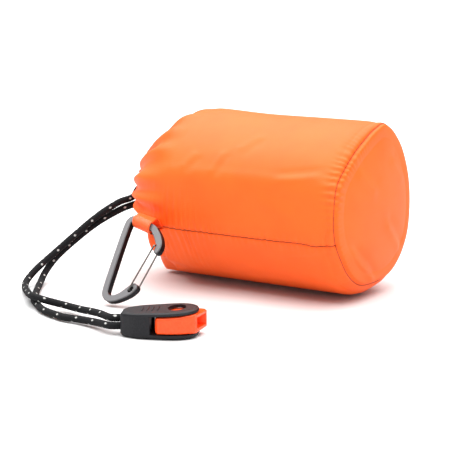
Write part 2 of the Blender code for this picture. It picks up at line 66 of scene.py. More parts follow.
# Sack cloth
COLUMNS = 192                  # of the simulated grid, doubled afterwards
SIDE_ROWS = 110
BASE_ROWS = 34
ROW_STEPS = 3                  # rows of the finished cloth for each simulated row
SEAM_DROP = radians(16.3)      # the side seam runs this far below the middle
SEAM_CROWD = 0.55              # how much closer together the columns are near the side seam
PLEATS = 21
BASE_BULGE = 0.0050            # how far the middle of the base stands out past its seam
CLOTH_LENGTH = 0.165           # of the side panel from the base seam to the hem
SHOULDER = 0.0115              # the side panel turns in to the base seam over this length
# Cross-section of the full sack: (degrees up from the near side, share of the radius along the
# body, share of the radius at the base seam). The stiff roll inside gives it flats and corners.
SECTION = [(-90, 1.000, 0.82), (-66, 0.998, 0.85), (-47, 1.003, 0.85), (-30, 0.984, 0.86),
           (-14, 1.000, 0.90), (5, 0.984, 0.925), (23, 1.018, 0.94), (32, 1.004, 0.91),
           (42, 0.993, 0.87), (56, 0.977, 0.845), (73, 0.980, 0.855), (90, 1.012, 0.925),
           (103, 1.026, 0.985), (125, 1.000, 0.93), (150, 1.000, 0.87), (180, 0.985, 0.85),
           (210, 1.004, 0.885), (240, 0.988, 0.87)]
# Below the side seam, the cloth sinks in between the end of the roll and the mouth
DENT_ANGLE = -43               # degrees up from the near side
DENT_WIDTH = 23
DENT_DEPTH = 0.29              # as a share of the radius
DENT_X = (-0.0625, -0.0535, -0.0460, -0.0360)   # no dent, full, full, no dent
GATHER_START = -0.028          # the cloth is gathered from here to the mouth
GATHER_LENGTH = 0.034
GATHER_DEPTH = 0.0026
# Soft folds: across the base panel as (y, z) and along the side as (x, degrees), each from its
# start to its end, then depth and half width
BASE_FOLDS = [((-0.026, 0.026), (-0.002, 0.008), 0.0007, 0.0022),
              ((0.004, 0.034), (0.022, 0.018), 0.0006, 0.0026),
              ((-0.020, 0.060), (-0.004, 0.048), 0.0005, 0.0030),
              ((0.010, 0.062), (0.024, 0.050), 0.0004, 0.0028)]
SIDE_FOLDS = [((-0.002, 43), (-0.006, 24), 0.0005, 0.0020),
              ((-0.016, 40), (-0.022, 27), 0.0004, 0.0022),
              ((0.012, 60), (0.004, 44), 0.0003, 0.0025),
              ((0.028, 24), (0.052, 30), 0.0004, 0.0022),
              ((0.030, -30), (0.050, -24), 0.0003, 0.0030),
              ((0.020, 8), (0.040, 3), 0.0003, 0.0035),
              ((-0.020, 110), (0.010, 120), 0.0004, 0.0030),
              ((0.000, 175), (0.030, 160), 0.0005, 0.0030),
              ((0.020, 220), (0.045, 200), 0.0005, 0.0030)]
HEM_X = MOUTH_X + 0.00275
HEM_RADIUS = 0.0080            # of the ring that the cord makes inside the hem
HEM_REACH = 0.0026             # from the cord's middle to the cloth folded round it
SIM_SCALE = 20                 # the cloth solver works badly on millimetres
SIM_FRAMES = 20
FURTHEST_MOVE = 0.0016         # that the cloth may settle
SMOOTHING_PASSES = 3
HELD_ROWS = 6                  # on each side of the base seam, held back more and more towards it
STITCH_SAMPLES = 6             # points along each stitch
STITCH_SIDES = 6

# Drawcord
CORD_RADIUS = 0.00155
CARRIERS = 8                   # strands of the braid in each direction
BRAID_PITCH = 0.00135
BRAID_SINK, BRAID_CROWN = 0.00016, 0.00022   # the strands' edges below the cord's radius, their rise

# Whistle housing, in its own frame: s along it from the cord end, t across
HOUSING_ORIGIN = Vector((0.0003, -0.1104, 0.0))
HOUSING_HEADING = radians(27)
HOUSING_REAR_HEIGHT = 0.0098
HOUSING_EYE_Z = HOUSING_REAR_HEIGHT / 2
HOUSING_SLOPE = 0.062          # rise of its top towards the front
CORD_END = 0.0045              # where the cord ends meet the knot
STRAND_OFFSET = (0.0011, 0.0014)   # of each cord end from the middle of the eye, across and up

# Carabiner, whose plane leans back from the table
CARABINER_FOOT = Vector((-0.0299, -0.0749, 0.0003))
CARABINER_LEAN = radians(33)
CARABINER_UP = Vector((0, sin(CARABINER_LEAN), cos(CARABINER_LEAN)))
CARABINER_OUT = Vector((0, -cos(CARABINER_LEAN), sin(CARABINER_LEAN)))
BAR_SLOPE = radians(14)        # the top bar runs down towards the nose
BAR_CENTRE = (0.0018, 0.0386, 0.0018)


# ---------------------------------------------------------------- camera and studio

def aim(item, place, target):
    item.location = place
    item.rotation_euler = (Vector(target) - Vector(place)).to_track_quat("-Z", "Y").to_euler()


def make_camera():
    """A long lens, a little to the right of the sack and slightly above it."""
    azimuth, elevation, distance = radians(32.0), radians(10.3), 0.705
    target = Vector((0, 0, 0.035))
    back = Vector((sin(azimuth) * cos(elevation), -cos(azimuth) * cos(elevation), sin(elevation)))
    right = Vector((cos(azimuth), sin(azimuth), 0))
    turn = Matrix((right, back.cross(right), back)).transposed().to_4x4()
    turn.translation = target + back * distance
    data = bpy.data.cameras.new("camera")
    data.sensor_width = 36
    data.lens = 120
    data.shift_x = -0.0844
    data.shift_y = -0.0356
    data.clip_start = 0.01
    camera = bpy.data.objects.new("camera", data)
    camera.matrix_world = turn
    bpy.context.scene.collection.objects.link(camera)
    bpy.context.scene.camera = camera


def add_light(name, kind, power, place, target):
    data = bpy.data.lights.new(name, kind)
    data.energy = power
    light = bpy.data.objects.new(name, data)
    aim(light, place, target)
    bpy.context.scene.collection.objects.link(light)
    return data


def make_studio():
    """A white room: wide soft light from above, a weak one from the right, and a pale floor."""
    scene = bpy.context.scene
    scene.view_settings.view_transform = "Standard"
    world = bpy.data.worlds.new("studio")
    world.use_nodes = True
    background = world.node_tree.nodes["Background"]
    background.inputs["Color"].default_value = (1, 1, 1, 1)
    background.inputs["Strength"].default_value = 0.57
    scene.world = world
    overhead = add_light("overhead", "SUN", 6.6, (-0.10, 0.05, 1.0), (0, 0, 0))
    overhead.angle = radians(95)
    right = add_light("right", "AREA", 2.3, (0.80, -0.25, 0.75), (0, 0, 0.03))
    right.size = 0.5
    data = bpy.data.meshes.new("floor")
    half = 6.0
    data.from_pydata([(-half, -half, 0), (half, -half, 0), (half, half, 0), (-half, half, 0)],
                     [], [(0, 1, 2, 3)])
    floor = bpy.data.objects.new("floor", data)
    floor.location.z = -0.0004
    paint, _, _ = new_material("floor_paint", (0.66, 0.66, 0.66), 0.9)
    data.materials.append(paint)
    scene.collection.objects.link(floor)


# ---------------------------------------------------------------- materials

def new_material(name, colour, roughness, metallic=0.0):
    made = bpy.data.materials.new(name)
    made.use_nodes = True
    nodes, links = made.node_tree.nodes, made.node_tree.links
    shader = nodes["Principled BSDF"]
    shader.inputs["Base Color"].default_value = (*colour, 1)
    shader.inputs["Roughness"].default_value = roughness
    shader.inputs["Metallic"].default_value = metallic
    return made, nodes, links


def noise(nodes, links, scale, detail=3.0):
    """A noise texture in object space."""
    texture = nodes.new("ShaderNodeTexNoise")
    texture.inputs["Scale"].default_value = scale
    texture.inputs["Detail"].default_value = detail
    links.new(nodes.new("ShaderNodeTexCoord").outputs["Object"], texture.inputs["Vector"])
    return texture.outputs["Fac"]


def mix_colours(nodes, links, factor, first, second, spread=(0.0, 1.0)):
    """A colour between two, by a factor that is first stretched over spread."""
    stretch = nodes.new("ShaderNodeMapRange")
    stretch.inputs["From Min"].default_value = spread[0]
    stretch.inputs["From Max"].default_value = spread[1]
    links.new(factor, stretch.inputs["Value"])
    mix = nodes.new("ShaderNodeMix")
    mix.data_type = "RGBA"
    links.new(stretch.outputs["Result"], mix.inputs["Factor"])
    for socket, colour in (("A", first), ("B", second)):
        slot = [i for i in mix.inputs if i.name == socket and i.type == "RGBA"][0]
        slot.default_value = (*colour, 1)
    return [o for o in mix.outputs if o.type == "RGBA"][0]


def add_bump(nodes, links, height, distance, strength):
    bump = nodes.new("ShaderNodeBump")
    bump.inputs["Distance"].default_value = distance
    bump.inputs["Strength"].default_value = strength
    links.new(height, bump.inputs["Height"])
    links.new(bump.outputs["Normal"], nodes["Principled BSDF"].inputs["Normal"])


def threads(nodes, links, direction, pitch):
    """Even ridges across the cloth's own coordinates, which are in metres."""
    uv = nodes.new("ShaderNodeUVMap")
    uv.uv_map = "cloth"
    wave = nodes.new("ShaderNodeTexWave")
    wave.bands_direction = direction
    wave.inputs["Scale"].default_value = 1 / pitch
    wave.inputs["Distortion"].default_value = 0.0
    links.new(uv.outputs["UV"], wave.inputs["Vector"])
    return wave.outputs["Fac"]


def calculate(nodes, links, operation, first, second):
    """A maths node; either value may be a node's output or a number."""
    node = nodes.new("ShaderNodeMath")
    node.operation = operation
    for value, socket in ((first, node.inputs[0]), (second, node.inputs[1])):
        if isinstance(value, float):
            socket.default_value = value
        else:
            links.new(value, socket)
    return node.outputs[0]


def nylon_material(name, colour, darker):
    """Thin coated nylon: a fine plain weave, a soft sheen and slight crinkles."""
    made, nodes, links = new_material(name, colour, 0.52)
    shader = nodes["Principled BSDF"]
    shader.inputs["Specular IOR Level"].default_value = 0.25
    blotch = noise(nodes, links, 60.0)
    links.new(mix_colours(nodes, links, blotch, darker, colour, (0.3, 0.6)), shader.inputs["Base Color"])
    weft, warp = [threads(nodes, links, direction, 0.0026) for direction in "XY"]
    weave = calculate(nodes, links, "MULTIPLY", weft, warp)
    crinkle = calculate(nodes, links, "MULTIPLY", noise(nodes, links, 900.0, 4.0), 0.6)
    add_bump(nodes, links, calculate(nodes, links, "ADD", weave, crinkle), 0.00006, 0.5)
    return made


def cord_material():
    """Black braid with one pale reflective strand, marked by the mesh's tracer attribute."""
    black = (0.005, 0.005, 0.006)
    made, nodes, links = new_material("black_braid", black, 0.8)
    shader = nodes["Principled BSDF"]
    shader.inputs["Specular IOR Level"].default_value = 0.2
    mark = nodes.new("ShaderNodeAttribute")
    mark.attribute_name = "tracer"
    colour = mix_colours(nodes, links, mark.outputs["Fac"], black, (0.45, 0.45, 0.43))
    links.new(colour, shader.inputs["Base Color"])
    fibre = noise(nodes, links, 5000.0, 2.0)
    add_bump(nodes, links, fibre, 0.00004, 0.6)
    return made


def plastic_material(name, colour, roughness, grain, depth, gloss):
    """Moulded plastic with a fine grain, whose high spots carry a painted highlight: a slightly lighter
    colour.
    """
    made, nodes, links = new_material(name, colour, roughness)
    shader = nodes["Principled BSDF"]
    shader.inputs["Specular IOR Level"].default_value = gloss
    grain_height = noise(nodes, links, grain, 4.0)
    # painted highlight: the colour is lightened where the grain's bump stands highest
    highlight_colour = [min(1.0, c * 1.25 + 0.004) for c in colour]
    highlit_grain = mix_colours(nodes, links, grain_height, colour, highlight_colour, (0.35, 0.7))
    links.new(highlit_grain, shader.inputs["Base Color"])
    add_bump(nodes, links, grain_height, depth, 0.6)
    return made


def anodised_material():
    """Satin grey on the flat faces, and darker on the edges."""
    edge, face = (0.008, 0.008, 0.010), (0.19, 0.185, 0.19)
    made, nodes, links = new_material("anodised_faces", face, 0.42, 0.55)
    shader = nodes["Principled BSDF"]
    shader.inputs["Specular IOR Level"].default_value = 0.15
    coordinates = nodes.new("ShaderNodeTexCoord")
    facing = nodes.new("ShaderNodeVectorMath")
    facing.operation = "DOT_PRODUCT"
    facing.inputs[1].default_value = CARABINER_OUT
    links.new(coordinates.outputs["Normal"], facing.inputs[0])
    size = nodes.new("ShaderNodeMath")
    size.operation = "ABSOLUTE"
    links.new(facing.outputs["Value"], size.inputs[0])
    colour = mix_colours(nodes, links, size.outputs[0], edge, face, (0.55, 0.8))
    links.new(colour, shader.inputs["Base Color"])
    brushed = noise(nodes, links, 2500.0, 2.0)
    add_bump(nodes, links, brushed, 0.00002, 0.4)
    return made


def steel_material():
    made, nodes, links = new_material("gate_wire", (0.16, 0.15, 0.14), 0.32, 0.9)
    drawn = noise(nodes, links, 3000.0, 2.0)
    add_bump(nodes, links, drawn, 0.00001, 0.4)
    return made


def satin_material():
    """Satin ribbon: a fine weft across it, and a soft bright gloss."""
    made, nodes, links = new_material("satin", (0.93, 0.095, 0.012), 0.36)
    shader = nodes["Principled BSDF"]
    shader.inputs["Specular IOR Level"].default_value = 0.35
    shader.inputs["Sheen Weight"].default_value = 0.12
    shader.inputs["Sheen Roughness"].default_value = 0.35
    shader.inputs["Sheen Tint"].default_value = (1.0, 0.7, 0.3, 1)
    add_bump(nodes, links, threads(nodes, links, "Y", 0.0022), 0.00005, 0.5)
    return made


# ---------------------------------------------------------------- mesh helpers

def catmull(points, steps):
    """Catmull-Rom curve through the points, steps samples to each span."""
    points = np.array(points, float)
    ends = np.vstack([2 * points[0] - points[1], points, 2 * points[-1] - points[-2]])
    t = (np.arange(steps) / steps)[:, None]
    path = []
    for a, b, c, d in zip(ends, ends[1:], ends[2:], ends[3:]):
        path.append(0.5 * (2 * b + (c - a) * t + (2 * a - 5 * b + 4 * c - d) * t ** 2
                           + (3 * b - a - 3 * c + d) * t ** 3))
    return np.vstack([*path, points[-1:]])


def along(path):
    """Distance along a path at each of its points."""
    return np.concatenate([[0], np.cumsum(np.linalg.norm(np.diff(path, axis=0), axis=1))])


def at_distances(path, distances):
    """Points of a path at the given distances along it."""
    reached = along(path)
    return np.stack([np.interp(distances, reached, path[:, k]) for k in range(path.shape[1])], axis=1)


def grid_faces(rows, columns, wrap=True):
    """Quads between the points of a grid, whose last column may join its first."""
    index = np.arange(rows * columns).reshape(rows, columns)
    if wrap:
        index = np.hstack([index, index[:, :1]])
    quads = np.stack([index[:-1, :-1], index[:-1, 1:], index[1:, 1:], index[1:, :-1]], axis=-1)
    return quads.reshape(-1, 4)


def add_mesh(name, points, faces, finish):
    data = bpy.data.meshes.new(name)
    data.from_pydata(np.asarray(points, float).reshape(-1, 3).tolist(), [],
                     [tuple(int(i) for i in face) for face in faces])
    data.validate()
    data.shade_smooth()
    item = bpy.data.objects.new(name, data)
    bpy.context.scene.collection.objects.link(item)
    if finish:
        data.materials.append(finish)
    return item


def tube_rings(path, radius, sides):
    """Rings of points round a path, carried along it without twist."""
    tangents = np.gradient(path, axis=0)
    tangents /= np.linalg.norm(tangents, axis=1, keepdims=True)
    side = np.cross(tangents[0], (0, 0, 1))
    if np.linalg.norm(side) < 0.1:
        side = np.cross(tangents[0], (0, 1, 0))
    across = []
    for tangent in tangents:
        side = side - tangent * (side @ tangent)
        side = side / np.linalg.norm(side)
        across.append(side)
    across = np.array(across)
    over = np.cross(tangents, across)
    turn = (2 * pi * np.arange(sides) / sides)[None, :, None]
    spokes = across[:, None] * np.cos(turn) + over[:, None] * np.sin(turn)
    radius = np.broadcast_to(radius, spokes.shape[:2])
    return path[:, None] + spokes * radius[:, :, None]


def capped_faces(count, sides, start=0):
    """Faces of a closed tube of count rings, whose points are numbered from start."""
    last = start + (count - 1) * sides
    faces = [tuple(start + i for i in face) for face in grid_faces(count, sides)]
    faces.append(tuple(range(start + sides - 1, start - 1, -1)))
    faces.append(tuple(range(last, last + sides)))
    return faces


def capped_tube(name, path, radius, sides, finish):
    return add_mesh(name, tube_rings(path, radius, sides), capped_faces(len(path), sides), finish)


# ---------------------------------------------------------------- stuff sack

def degrees_up(angles):
    """Angles round the sack in degrees, from -90 to 270, up from the near side."""
    return np.mod(np.degrees(angles) + 90, 360) - 90


def column_angles(count):
    """Angles round the sack, up from the near side, closer together at the side seam."""
    share = np.arange(count) / count
    return -SEAM_DROP + 2 * pi * share - SEAM_CROWD * np.sin(2 * pi * share)


def meridian():
    """Rows of (x, side radius, top radius, bottom radius) from the base seam to the hem."""
    full = RADIUS
    knots = [(SEAM_X, full, full, full), (0.0500, full, full, full),
             (0.0300, full, full, full), (0.0000, full, full, full),
             (-0.0280, 0.0402, 0.0415, full), (-0.0385, 0.0390, 0.0397, 0.0405),
             (-0.0475, 0.0356, 0.0322, 0.0405), (-0.0535, 0.0308, 0.0262, 0.0384),
             (-0.0585, 0.0245, 0.0212, 0.0285), (-0.0622, 0.0158, 0.0150, 0.0162),
             (HEM_X - HEM_REACH * 0.9, 0.0092, 0.0092, 0.0092)]
    path = catmull(knots, 16)
    reached = along(path[:, :2])
    share = np.linspace(0, 1, SIDE_ROWS)
    wanted = reached[-1] * (0.5 * share + 0.5 * share ** 2)
    return np.stack([np.interp(wanted, reached, path[:, k]) for k in range(4)], axis=1)


def bell(distance, width):
    return np.exp(-(distance / width) ** 2)


def sack_ring(x, side, top, bottom, angles):
    """Points round the sack at x, from its radii to the sides, the top and the bottom."""
    height = np.sin(angles)
    far = np.where(height > 0, top, bottom)
    reach = side + (far - side) * height ** 2
    z = np.maximum(AXIS_Z + reach * height, 0.0)
    return np.stack([np.full(len(angles), x), -reach * np.cos(angles), z], axis=1)


def pleat_wave(angles):
    """The gathers round the mouth: uneven, as cloth bunches."""
    drift = 0.5 * np.sin(3 * angles + 1.0) + 0.35 * np.sin(7 * angles + 0.3)
    return np.sin(PLEATS * angles + 1.6 * drift)


def section_shares(angles):
    """How far the section stands out at each angle: along the body, and at the base seam."""
    knots = np.array([*SECTION, (270, *SECTION[0][1:])], float)
    around = np.concatenate([knots[-3:-1] - (360, 0, 0), knots, knots[1:3] + (360, 0, 0)])
    smooth = catmull(around, 12)
    return [np.interp(degrees_up(angles), smooth[:, 0], smooth[:, k]) for k in (1, 2)]


def dent_share(x, angles):
    """How much of the radius is left at each angle, where the cloth sinks in near the mouth."""
    sunken = np.interp(x, DENT_X, (0, 1, 1, 0))
    return 1 - DENT_DEPTH * sunken * bell(degrees_up(angles) - DENT_ANGLE, DENT_WIDTH)


def start_shape():
    """The closed sack before the cloth settles: base rows from the middle out, then the side."""
    angles = column_angles(COLUMNS)
    body, seam = section_shares(angles)
    rows = []
    for k in range(BASE_ROWS):
        share = (k + 0.15) / BASE_ROWS
        dome = BASE_BULGE * sqrt(1 - share ** 2)
        reach = RADIUS * share * seam
        rows.append(sack_ring(SEAM_X + dome, reach, reach, reach, angles))
    for x, side, top, bottom in meridian():
        drawn = min(max((GATHER_START - x) / GATHER_LENGTH, 0), 1)
        turn_in = min(max(1 - (SEAM_X - x) / SHOULDER, 0), 1) ** 3
        share = body + (seam - body) * turn_in
        share = share + (1 - share) * min(drawn * 4, 1)
        gathers = 1 + GATHER_DEPTH * drawn ** 1.1 * pleat_wave(angles) / side
        share = share * dent_share(x, angles)
        rows.append(sack_ring(x, side * share * gathers, top * share * gathers,
                              bottom * share * gathers, angles))
    return np.array(rows)


def simulate(grid):
    """Lets the cloth settle: it is cut a little large, filled from inside, and held at its seams."""
    cloth = add_mesh("settling", grid * SIM_SCALE, grid_faces(len(grid), COLUMNS)[:, ::-1], None)
    held = cloth.vertex_groups.new(name="held")
    index = np.arange(len(grid) * COLUMNS).reshape(len(grid), COLUMNS)
    held.add(index[BASE_ROWS].tolist(), 1.0, "REPLACE")
    held.add(index[-3:].ravel().tolist(), 1.0, "REPLACE")
    step = cloth.modifiers.new("cloth", "CLOTH")
    step.collision_settings.use_collision = False
    solver = step.settings
    solver.quality = 6
    solver.mass = 0.2
    solver.tension_stiffness = 20
    solver.compression_stiffness = 20
    solver.shear_stiffness = 8
    solver.bending_stiffness = 0.5
    solver.air_damping = 2
    solver.use_pressure = True
    solver.uniform_pressure_force = 2.5
    solver.vertex_group_mass = "held"
    solver.shrink_min = -0.022
    solver.effector_weights.gravity = 0
    for number in range(1, SIM_FRAMES + 1):
        bpy.context.scene.frame_set(number)
    settled = cloth.evaluated_get(bpy.context.evaluated_depsgraph_get()).to_mesh()
    places = np.zeros(grid.size)
    settled.vertices.foreach_get("co", places)
    bpy.data.objects.remove(cloth)
    bpy.context.scene.frame_set(1)
    moved = places.reshape(grid.shape) / SIM_SCALE - grid
    far = np.linalg.norm(moved, axis=2, keepdims=True)
    moved *= np.minimum(1, FURTHEST_MOVE / np.maximum(far, 1e-9))
    for _ in range(SMOOTHING_PASSES):
        moved = (np.roll(moved, 1, 1) + 2 * moved + np.roll(moved, -1, 1)) / 4
    freedom = np.clip(np.abs(np.arange(len(grid)) - BASE_ROWS) / HELD_ROWS, 0, 1)
    return grid + moved * freedom[:, None, None]


def refined(grid):
    """The same surface with twice the columns and ROW_STEPS times the rows."""
    columns = np.concatenate([grid[:, -1:], grid, grid[:, :2]], axis=1)
    between = (-columns[:, :-3] + 9 * columns[:, 1:-2] + 9 * columns[:, 2:-1] - columns[:, 3:]) / 16
    wide = np.stack([grid, between], axis=2).reshape(len(grid), -1)
    return catmull(wide, ROW_STEPS).reshape(-1, 2 * grid.shape[1], 3)


def grid_normals(grid):
    """Outward normals of the sack's grid."""
    across = np.roll(grid, -1, 1) - np.roll(grid, 1, 1)
    down = np.gradient(grid, axis=0)
    normals = np.cross(across, down)
    normals /= np.maximum(np.linalg.norm(normals, axis=2, keepdims=True), 1e-12)
    return normals


def uneven(values, seed, scale):
    """Smooth one-dimensional noise, the same each run."""
    count = 4096
    source = np.random.default_rng(seed).uniform(-1, 1, count)
    spot = values / scale
    low = np.floor(spot).astype(int)
    share = spot - low
    share = share * share * (3 - 2 * share)
    return source[low % count] * (1 - share) + source[(low + 1) % count] * share


def fold(spots, start, end, depth, width):
    """A soft fold between two points: a ridge with a shallower valley beside it, fading at its ends."""
    run = end - start
    length = np.linalg.norm(run)
    share = (spots - start) @ run / length ** 2
    away = (spots - start) @ np.array((-run[1], run[0])) / length
    taper = bell(np.maximum(np.abs(share - 0.5) - 0.3, 0), 0.18)
    return taper * depth * (bell(away, width) - 0.7 * bell(away - 1.7 * width, width))


def side_seam_relief(x, angles):
    """The side seam's groove, the ridge beside it and its puckers, and the pull of the ribbon."""
    around = (np.mod(angles + SEAM_DROP + pi, 2 * pi) - pi) * RADIUS
    fade = np.clip((x + 0.052) / 0.012, 0, 1)
    groove = -0.00045 * bell(around, 0.0007)
    ridge = 0.00018 * bell(around - 0.0016, 0.0012)
    pucker = 0.00021 * np.sin(2 * pi * x / 0.0031 + 1.5 * uneven(x, 5, 0.009))
    pucker = pucker * (0.5 + uneven(x, 6, 0.006) ** 2) * bell(around, 0.0035)
    pull = np.sin(2 * pi * x / 0.0030 + 2.4 * uneven(x, 9, 0.004) + 0.6 * np.sin(around / 0.006))
    pull = pull * bell(around, 0.016) * bell(x + 0.022, 0.013)
    pull = pull * (0.5 + uneven(x + 0.3 * around, 10, 0.005) ** 2)
    return (groove + ridge + pucker) * fade + 0.00028 * pull


def base_seam_relief(grid, seam_row, angles):
    """The base seam's groove and the puckers on both sides of it, strongest where it is pulled."""
    steps = np.linalg.norm(np.diff(grid, axis=0), axis=2)
    from_seam = np.vstack([np.zeros(grid.shape[1]), np.cumsum(steps, axis=0)])
    from_seam -= from_seam[seam_row]
    arc = angles * BASE_RADIUS
    wave = np.sin(2 * pi * arc / 0.0029 + 2.2 * uneven(arc, 7, 0.006))
    pulled = bell(np.degrees(angles) - 36, 24)
    near_side = np.clip(np.cos(angles - radians(20)), 0, 1)
    strength = 0.00020 * ((0.25 + 0.9 * uneven(arc, 8, 0.011) ** 2) * near_side + 1.7 * pulled)
    reach = np.where(from_seam > 0, 0.0042, 0.0030)
    puckers = wave * strength * bell(np.abs(from_seam) - 0.0012, reach)
    return puckers - 0.0008 * bell(from_seam, 0.0011)


def sew(grid, seam_row):
    """Draws the cloth in along both seams, with the small puckers that stitches make."""
    angles = column_angles(grid.shape[1])
    offset = base_seam_relief(grid, seam_row, angles)
    side, disc = slice(seam_row, None), slice(0, seam_row + 1)
    x = grid[side, :, 0]
    offset[side] += side_seam_relief(x, angles)
    spots = np.stack(np.broadcast_arrays(x, np.radians(degrees_up(angles)) * RADIUS), axis=-1)
    for start, end, depth, width in SIDE_FOLDS:
        ends = [np.array((along_x, radians(up) * RADIUS)) for along_x, up in (start, end)]
        offset[side] += fold(spots, *ends, depth, width)
    for start, end, depth, width in BASE_FOLDS:
        offset[disc] += fold(grid[disc, :, 1:], np.array(start), np.array(end), depth, width)
    return grid + grid_normals(grid) * offset[:, :, None]


def hem_rows(last):
    """The hem folded in round the cord, as rows that go on from the last row of the side."""
    rows = []
    centre_spokes = last[:, 1:] - np.array([0, AXIS_Z])
    base_reach = np.linalg.norm(centre_spokes, axis=1)
    spokes = centre_spokes / base_reach[:, None]
    gathers = base_reach - base_reach.mean()
    for angle in np.linspace(radians(170), radians(440), 22):
        reach = HEM_RADIUS + HEM_REACH * sin(angle) + gathers * 0.7
        x = HEM_X + HEM_REACH * cos(angle) + 0.3 * gathers
        rows.append(np.stack([x, spokes[:, 0] * reach, AXIS_Z + spokes[:, 1] * reach], axis=1))
    return np.array(rows)


def make_sack():
    grid = start_shape()
    grid = simulate(grid)
    seam_row = ROW_STEPS * BASE_ROWS
    fine = sew(refined(grid), seam_row)
    fine[:, :, 2] = np.maximum(fine[:, :, 2], 0.0002)
    columns = fine.shape[1]
    base_grid = fine[:seam_row + 1]
    faces = [tuple(f) for f in grid_faces(len(base_grid), columns)[:, ::-1]]
    base = add_mesh("base_panel_cloth", base_grid, faces + [tuple(range(columns))],
                    nylon_material("base_nylon", (0.94, 0.118, 0.007), (0.90, 0.106, 0.005)))
    add_cloth_uv(base, columns, BASE_RADIUS / seam_row)
    side_grid = np.concatenate([fine[seam_row:], hem_rows(fine[-1])])
    side = add_mesh("side_panel_cloth", side_grid, grid_faces(len(side_grid), columns)[:, ::-1],
                    nylon_material("side_nylon", (0.94, 0.118, 0.010), (0.90, 0.106, 0.008)))
    add_cloth_uv(side, columns, CLOTH_LENGTH / SIDE_ROWS / ROW_STEPS)
    for cloth in (base, side):
        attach(cloth, "sack")
    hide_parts("sack_base_panel")
    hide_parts("sack_side_panel")
    return fine, seam_row


def add_cloth_uv(item, columns, row_step):
    """UV in metres: the arc round the sack across, and the distance down the rows along."""
    data = item.data
    layer = data.uv_layers.new(name="cloth")
    angles = np.append(column_angles(columns), column_angles(columns)[0] + 2 * pi)
    for face in data.polygons:
        face_columns = [vertex % columns for vertex in face.vertices]
        wraps = max(face_columns) - min(face_columns) > 2
        for corner, vertex, column in zip(face.loop_indices, face.vertices, face_columns):
            if wraps and column < 2:
                column += columns
            across = angles[min(column, columns)] * RADIUS
            layer.data[corner].uv = (across, vertex // columns * row_step)


def stitch_line(path, pitch, length, dip):
    """Centre lines of the stitches along a path; both ends of each sink into the cloth."""
    reached = along(path)
    pieces = []
    count = int(reached[-1] / pitch)
    for k in range(count):
        middle = (k + 0.5) * reached[-1] / count
        spots = middle + length * np.linspace(-0.5, 0.5, STITCH_SAMPLES)
        sink = dip * np.linspace(-1, 1, STITCH_SAMPLES) ** 4
        pieces.append((at_distances(path, spots), sink))
    return pieces


def add_stitches(name, path, normals, pitch, length, radius, finish, node, lift=0.0001):
    """One mesh of all the stitches of a seam."""
    both = np.hstack([path, normals])
    points, faces = [], []
    for line, sink in stitch_line(both, pitch, length, 0.0005):
        outward = line[:, 3:] / np.linalg.norm(line[:, 3:], axis=1, keepdims=True)
        centre = line[:, :3] + outward * (lift - sink)[:, None]
        faces += capped_faces(STITCH_SAMPLES, STITCH_SIDES, sum(len(p) for p in points))
        points.append(tube_rings(centre, radius, STITCH_SIDES).reshape(-1, 3))
    made = add_mesh(name, np.vstack(points), faces, finish)
    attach(made, "sack")
    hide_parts(node)


def make_seams(fine, seam_row):
    thread, nodes, links = new_material("seam_thread", (0.30, 0.030, 0.012), 0.8)
    add_bump(nodes, links, noise(nodes, links, 6000.0, 2.0), 0.00003, 0.6)
    normals = grid_normals(fine)
    side = fine[seam_row + 3:, 0]
    keep = side[:, 0] > -0.046
    add_stitches("side_seam_stitches", side[keep], normals[seam_row + 3:, 0][keep], 0.0030, 0.0026,
                 0.00017, thread, "side_seam_thread")
    row = seam_row + 1
    ring = np.vstack([fine[row], fine[row, :1]])
    ring_normals = np.vstack([normals[row], normals[row, :1]])
    add_stitches("base_seam_stitches", ring, ring_normals, 0.0029, 0.0022, 0.00015, thread,
                 "base_seam_thread", lift=0.00008)


def make_tent_roll():
    """The rolled sheet inside, seen only through the drawn mouth."""
    low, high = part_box("tube_tent_roll")
    row_count, column_count, layer = 24, 600, 0.0027
    turns = np.linspace(0.6, 12, column_count)
    radius, angle = layer * turns, 2 * pi * turns
    spiral = np.stack([-radius * np.cos(angle), AXIS_Z + radius * np.sin(angle)], axis=1)
    rows = []
    for share in np.linspace(0, 1, row_count):
        ripple = 0.0008 * np.sin(9 * turns + 5 * share)
        x = low.x + (high.x - low.x) * share + ripple
        rows.append(np.column_stack([x, spiral]))
    finish, nodes, links = new_material("tent_film", (0.90, 0.25, 0.06), 0.3)
    crumple = noise(nodes, links, 400.0, 5.0)
    add_bump(nodes, links, crumple, 0.0004, 0.5)
    faces = grid_faces(row_count, column_count, wrap=False)
    roll = add_mesh("rolled_tent", np.array(rows), faces, finish)
    thick = roll.modifiers.new("layers", "SOLIDIFY")
    thick.thickness = 0.0012
    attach(roll, "sack")
    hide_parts("tube_tent_roll")


# ---------------------------------------------------------------- drawcord

def on_housing(s, t, z):
    """A point given in the whistle housing's own frame."""
    ahead = Vector((cos(HOUSING_HEADING), sin(HOUSING_HEADING), 0))
    left = Vector((-ahead.y, ahead.x, 0))
    return tuple(HOUSING_ORIGIN + ahead * s + left * t + Vector((0, 0, z)))


def hem_point(angle):
    """A point of the ring that the cord makes inside the hem, measured up from the near side."""
    return (HEM_X, -HEM_RADIUS * cos(angle), AXIS_Z + HEM_RADIUS * sin(angle))


